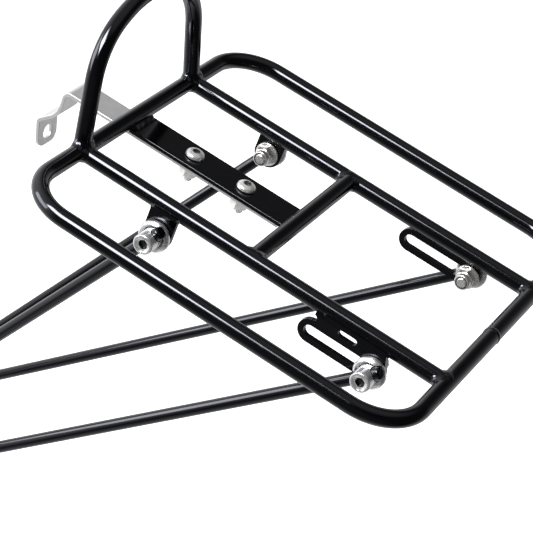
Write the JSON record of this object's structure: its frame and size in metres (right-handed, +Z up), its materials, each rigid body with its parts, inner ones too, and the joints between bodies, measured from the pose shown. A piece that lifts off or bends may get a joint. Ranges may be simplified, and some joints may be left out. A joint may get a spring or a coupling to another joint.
{
  "type": "bicycle rear rack",
  "caption": "Tubular bicycle rack: welded flat deck with a low hoop, sliding stay strap and adjustable rod struts held by eyebolts.",
  "frame": {"origin": "middle of the deck's front bar, on the tube's axis, where the rack's middle line crosses it", "axes": "+X along the deck towards the rear of the bicycle, +Z up and square to the deck, -Y the bicycle's left side, so +X, +Y and +Z form a right-handed frame"},
  "size_m": [0.3568, 0.2424, 0.4095],
  "materials": {
    "black_paint": "gloss black powder coat",
    "satin_steel": "satin plated steel strap",
    "bright_steel": "polished stainless steel hardware"
  },
  "bodies": {
    "deck": {"deck_loop": "black_paint", "left_rail": "black_paint", "right_rail": "black_paint", "mid_crossbar": "black_paint", "hoop": "black_paint", "centre_plate": "black_paint", "left_front_tab": "black_paint", "right_front_tab": "black_paint", "left_slotted_tab": "black_paint", "right_slotted_tab": "black_paint", "plate_bolt_front": "bright_steel", "plate_bolt_rear": "bright_steel", "plate_washer_front": "bright_steel", "plate_washer_rear": "bright_steel", "plate_nut_front": "bright_steel", "plate_nut_rear": "bright_steel", "left_front_lock_nut": "bright_steel", "right_front_lock_nut": "bright_steel"},
    "stay": {"stay": "satin_steel"},
    "left_front_pivot": {"left_front_eyebolt": "bright_steel", "left_front_grooved_washer": "bright_steel"},
    "left_front_strut": {"left_front_strut": "black_paint"},
    "left_rear_pivot": {"left_rear_eyebolt": "bright_steel", "left_rear_grooved_washer": "bright_steel"},
    "left_rear_strut": {"left_rear_strut": "black_paint"},
    "left_rear_carriage": {"left_rear_lock_nut": "bright_steel"},
    "right_front_pivot": {"right_front_eyebolt": "bright_steel", "right_front_grooved_washer": "bright_steel"},
    "right_front_strut": {"right_front_strut": "black_paint"},
    "right_rear_pivot": {"right_rear_eyebolt": "bright_steel", "right_rear_grooved_washer": "bright_steel"},
    "right_rear_strut": {"right_rear_strut": "black_paint"},
    "right_rear_carriage": {"right_rear_lock_nut": "bright_steel"}
  },
  "joints": [
    {"name": "stay_slide", "type": "slide", "parent": "deck", "child": "stay", "axis": [1, 0, 0], "range_m": [-0.015, 0.008]},
    {"name": "left_front_swing", "type": "hinge", "parent": "deck", "child": "left_front_pivot", "pos_m": [0.0585, -0.0692, -0.016], "axis": [0, 1, 0], "range_deg": [-12, 50]},
    {"name": "left_front_strut_slide", "type": "slide", "parent": "left_front_pivot", "child": "left_front_strut", "axis": [0.4864, -0.0785, 0.8702], "range_m": [-0.005, 0.3]},
    {"name": "left_rear_slot_slide", "type": "slide", "parent": "deck", "child": "left_rear_carriage", "axis": [1, 0, 0], "range_m": [-0.038, 0]},
    {"name": "left_rear_swing", "type": "hinge", "parent": "left_rear_carriage", "child": "left_rear_pivot", "pos_m": [0.194, -0.0692, -0.0148], "axis": [0, 1, 0], "range_deg": [-85, 4]},
    {"name": "left_rear_strut_slide", "type": "slide", "parent": "left_rear_pivot", "child": "left_rear_strut", "axis": [0.6896, 0, 0.7242], "range_m": [-0.005, 0.3]},
    {"name": "right_front_swing", "type": "hinge", "parent": "deck", "child": "right_front_pivot", "pos_m": [0.0585, 0.0692, -0.016], "axis": [0, 1, 0], "range_deg": [-12, 50]},
    {"name": "right_front_strut_slide", "type": "slide", "parent": "right_front_pivot", "child": "right_front_strut", "axis": [0.4864, 0.0785, 0.8702], "range_m": [-0.005, 0.3]},
    {"name": "right_rear_slot_slide", "type": "slide", "parent": "deck", "child": "right_rear_carriage", "axis": [1, 0, 0], "range_m": [-0.038, 0]},
    {"name": "right_rear_swing", "type": "hinge", "parent": "right_rear_carriage", "child": "right_rear_pivot", "pos_m": [0.194, 0.0692, -0.0148], "axis": [0, 1, 0], "range_deg": [-85, 4]},
    {"name": "right_rear_strut_slide", "type": "slide", "parent": "right_rear_pivot", "child": "right_rear_strut", "axis": [0.6896, 0, 0.7242], "range_m": [-0.005, 0.3]}
  ]
}
